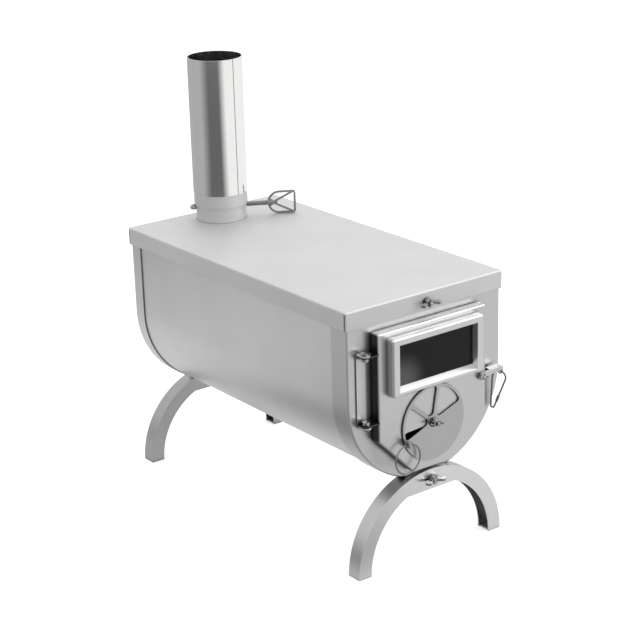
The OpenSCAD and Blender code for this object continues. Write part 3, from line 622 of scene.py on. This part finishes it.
def reflector(name, points, tone):
    """A card that only gloss sees, and only on its upper or inner side, glowing with a tone of its
    own at each point."""
    obj = grid_mesh(name, points, closed_u=True)
    layer = obj.data.attributes.new("tone", "FLOAT", "POINT")
    layer.data.foreach_set("value", tone.ravel())
    made, tree = empty_material(name)
    strength = add_node(tree, "ShaderNodeAttribute", attribute_name="tone").outputs["Fac"]
    glow = add_node(tree, "ShaderNodeEmission", {"Strength": strength})
    clear = add_node(tree, "ShaderNodeBsdfTransparent")
    outside = add_node(tree, "ShaderNodeNewGeometry").outputs["Backfacing"]
    side = add_node(
        tree, "ShaderNodeMixShader", {0: outside, 1: glow.outputs[0], 2: clear.outputs[0]}
    )
    add_node(tree, "ShaderNodeOutputMaterial", {"Surface": side.outputs[0]})
    obj.data.materials.append(made)
    for ray in ("camera", "diffuse", "shadow", "transmission", "volume_scatter"):
        setattr(obj, f"visible_{ray}", False)


def around_flue(run, rise):
    """Points round the flue at distances and heights, and each one's turn from CARD_TURN, the
    way from the flue to the front left, carried into -180 to 180."""
    turn = np.radians(np.linspace(0, -360, 181)[:-1])[:, None]
    points = np.stack(
        [run * np.cos(turn), FLUE_Y + run * np.sin(turn), rise + 0 * turn], axis=-1
    )
    off = np.degrees((turn - math.radians(CARD_TURN)) % (2 * np.pi))
    return points, (off + 180) % 360 - 180 + 0 * run


def studio_cards():
    """A card that lies level with the lid and shows from above only, so that the pipe has it in its
    gloss and the lid has not: dark at the front left, grey to the left of that and white to the
    right. Another lies on the floor for the rest of the stove. Its tone goes by the distance
    beside the lid too, and it fades to the white of the world up its rim."""
    points, off = around_flue(np.linspace(0.115, 1.6, 12), np.full(12, 0.282))
    reflector("pipe_card", points, np.interp(off, *PIPE_TONES))
    run = np.concatenate([np.linspace(0.04, 1.3, 29), np.full(4, 1.32)])
    rise = np.concatenate([np.full(29, 0.0004), np.linspace(0.03, 0.3, 4)])
    points, off = around_flue(run, rise)
    beyond_lid = np.maximum(np.abs(points[..., :2]) - (0.1, 0.19), 0)
    beside = np.hypot(beyond_lid[..., 0], beyond_lid[..., 1])
    left = np.clip((-off - 60) / 30, 0, 1) * np.clip((150 + off) / 20, 0, 1)
    tone = np.interp(off, *FLOOR_TONES) * (
        1 - left + left * np.interp(beside, [0, 0.12, 0.52, 0.78], [1.0, 1.08, 1.06, 0.42])
    )
    under = np.clip(1 - beside / 0.06, 0, 1)
    tone = tone * (1 - under) + 0.8 * under
    rim = np.clip(points[..., 2] / 0.3, 0, 1)
    reflector("floor_card", points, tone * (1 - rim) + rim)


def studio_world():
    """White where the camera or gloss looks at it, and a softer light on the object."""
    world = bpy.data.worlds.new("studio")
    bpy.context.scene.world = world
    world.use_nodes = True
    tree = world.node_tree
    tree.nodes.clear()
    seen = ray_is(tree, "Is Camera Ray", "Is Glossy Ray", "Is Transmission Ray")
    strength = add_node(tree, "ShaderNodeMapRange", {"Value": seen}, To_Min=0.6, To_Max=1.0)
    light = add_node(
        tree, "ShaderNodeBackground", {"Strength": strength.outputs[0]}, Color=(1, 1, 1, 1)
    )
    add_node(tree, "ShaderNodeOutputWorld", {"Surface": light.outputs[0]})


def softbox(name, at, aim, size, watts):
    """A square area lamp at a place, aimed at a point."""
    data = bpy.data.lights.new(name, "AREA")
    data.shape, data.size, data.energy = "SQUARE", size, watts
    obj = bpy.data.objects.new(name, data)
    bpy.context.collection.objects.link(obj)
    obj.location = at
    obj.rotation_mode = "QUATERNION"
    obj.rotation_quaternion = (Vector(aim) - Vector(at)).to_track_quat("-Z", "Y")
    obj.visible_camera = False


studio_floor()
studio_cards()
studio_world()
softbox("softbox_top", (0.3, 0.4, 2.2), (0, 0, 0.2), 1.8, 4)
softbox("softbox_front", (1.4, -1.8, 1.3), (0, 0, 0.2), 1.2, 13)
softbox("softbox_right", (1.2, -0.75, 1.75), (0, 0, 0.2), 1.3, 4)

bpy.context.scene.view_settings.view_transform = "Standard"
